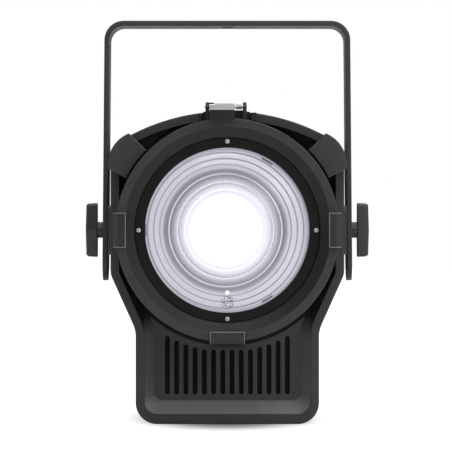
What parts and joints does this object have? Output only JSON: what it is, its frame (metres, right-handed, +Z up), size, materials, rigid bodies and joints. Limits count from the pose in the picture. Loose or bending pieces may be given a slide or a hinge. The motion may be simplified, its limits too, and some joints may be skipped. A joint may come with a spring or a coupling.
{
  "type": "fresnel spotlight",
  "caption": "LED fresnel spotlight: round lens in a cast ring with an accessory slot, flat-based housing with a vented chin, and a strap yoke held by two tee knobs.",
  "frame": {"origin": "on the ground under the middle of the whole lamp's box; the housing's flat base lies at z = 0", "axes": "+Z up, the lamp shines along -Y, +X to the right as seen from in front"},
  "size_m": [0.2794, 0.29, 0.3909],
  "materials": {
    "housing_paint": "matte",
    "ring_paint": "satin",
    "yoke_paint": "matte",
    "sheet_paint": "satin",
    "knob_plastic": "matte",
    "black_plastic": "satin",
    "lens_glass": "polished",
    "brushed_steel": "satin",
    "zinc_steel": "gloss",
    "bare_aluminium": "satin",
    "brass": "satin",
    "nylon": "matte",
    "circuit_board": "satin",
    "module_case": "satin",
    "led_phosphor": "gloss",
    "display_glass": "gloss",
    "button_rubber": "matte"
  },
  "bodies": {
    "lamp_head": {"accessory_clip_bottom": "sheet_paint", "accessory_clip_left": "sheet_paint", "accessory_clip_right": "sheet_paint", "bezel_ring": "ring_paint", "bulkhead": "housing_paint", "control_board": "circuit_board", "corner_block_left": "housing_paint", "corner_block_right": "housing_paint", "display_window": "display_glass", "dmx_in_socket": "black_plastic", "dmx_out_socket": "black_plastic", "fresnel_lens": "lens_glass", "front_housing": "housing_paint", "fuse_holder": "black_plastic", "guide_rod_left": "zinc_steel", "guide_rod_right": "zinc_steel", "latch_bracket": "sheet_paint", "latch_pin": "zinc_steel", "latch_spring": "zinc_steel", "lens_clip_1": "sheet_paint", "lens_clip_2": "sheet_paint", "lens_clip_3": "sheet_paint", "lens_retaining_ring": "sheet_paint", "lens_ring_screw_1": "zinc_steel", "lens_ring_screw_2": "zinc_steel", "lens_ring_screw_3": "zinc_steel", "lens_ring_screw_4": "zinc_steel", "pivot_block_left": "housing_paint", "pivot_block_right": "housing_paint", "power_in_socket": "black_plastic", "power_out_socket": "black_plastic", "power_supply": "module_case", "rear_chassis": "housing_paint", "rear_housing": "housing_paint", "rear_panel": "sheet_paint", "safety_eye": "zinc_steel"},
    "yoke": {"yoke": "yoke_paint", "friction_washer_left": "nylon", "friction_washer_right": "nylon"},
    "tilt_knob_left": {"tilt_knob_left": "knob_plastic", "tilt_stud_left": "zinc_steel"},
    "tilt_knob_right": {"tilt_knob_right": "knob_plastic", "tilt_stud_right": "zinc_steel"},
    "latch": {"latch_plate": "brushed_steel"},
    "carriage": {"carriage_plate": "bare_aluminium", "lead_nut": "brass", "led_cob": "led_phosphor", "led_holder": "housing_paint", "condenser_lens": "lens_glass", "heat_sink": "bare_aluminium", "fan_frame": "black_plastic"},
    "fan": {"fan_rotor": "black_plastic"},
    "focus_screw": {"lead_screw": "zinc_steel", "focus_knob": "knob_plastic"},
    "button_1": {"button_1": "button_rubber"},
    "button_2": {"button_2": "button_rubber"},
    "button_3": {"button_3": "button_rubber"},
    "button_4": {"button_4": "button_rubber"},
    "fuse_cap": {"fuse_cap": "black_plastic"},
    "dmx_latch": {"dmx_out_latch": "zinc_steel"}
  },
  "joints": [
    {"name": "yoke_tilt", "type": "hinge", "parent": "lamp_head", "child": "yoke", "pos_m": [0, 0, 0.1855], "axis": [1, 0, 0], "range_deg": [-110, 110]},
    {"name": "tilt_knob_left_turn", "type": "hinge", "parent": "lamp_head", "child": "tilt_knob_left", "pos_m": [-0.12, 0, 0.1855], "axis": [-1, 0, 0], "range_deg": [0, 180]},
    {"name": "tilt_knob_right_turn", "type": "hinge", "parent": "lamp_head", "child": "tilt_knob_right", "pos_m": [0.12, 0, 0.1855], "axis": [1, 0, 0], "range_deg": [0, 180]},
    {"name": "latch_lift", "type": "hinge", "parent": "lamp_head", "child": "latch", "pos_m": [0, -0.126, 0.301], "axis": [-1, 0, 0], "range_deg": [0, 95], "stiffness_Nm_per_rad": 0.02, "springref_deg": -22.92},
    {"name": "focus_slide", "type": "slide", "parent": "lamp_head", "child": "carriage", "axis": [0, 1, 0], "range_m": [0, 0.04]},
    {"name": "focus_knob_turn", "type": "hinge", "parent": "lamp_head", "child": "focus_screw", "pos_m": [0, 0, 0.0815], "axis": [0, 1, 0], "range_deg": [0, 721]},
    {"name": "fan_spin", "type": "hinge", "parent": "carriage", "child": "fan", "pos_m": [0, 0.014, 0.1855], "axis": [0, 1, 0], "continuous": true},
    {"name": "button_1_press", "type": "slide", "parent": "lamp_head", "child": "button_1", "axis": [0, -1, 0], "range_m": [0, 0.001], "stiffness_N_per_m": 1200, "springref_m": -0.0005},
    {"name": "button_2_press", "type": "slide", "parent": "lamp_head", "child": "button_2", "axis": [0, -1, 0], "range_m": [0, 0.001], "stiffness_N_per_m": 1200, "springref_m": -0.0005},
    {"name": "button_3_press", "type": "slide", "parent": "lamp_head", "child": "button_3", "axis": [0, -1, 0], "range_m": [0, 0.001], "stiffness_N_per_m": 1200, "springref_m": -0.0005},
    {"name": "button_4_press", "type": "slide", "parent": "lamp_head", "child": "button_4", "axis": [0, -1, 0], "range_m": [0, 0.001], "stiffness_N_per_m": 1200, "springref_m": -0.0005},
    {"name": "fuse_cap_turn", "type": "hinge", "parent": "lamp_head", "child": "fuse_cap", "pos_m": [0, 0.112, 0.0355], "axis": [0, 1, 0], "range_deg": [0, 60]},
    {"name": "dmx_latch_press", "type": "slide", "parent": "lamp_head", "child": "dmx_latch", "axis": [0, -1, 0], "range_m": [0, 0.0015], "stiffness_N_per_m": 1500, "springref_m": -0.0005}
  ],
  "couplings": [
    {"joint": "focus_knob_turn", "follows": "focus_slide", "rad_per_m": 314.16}
  ]
}
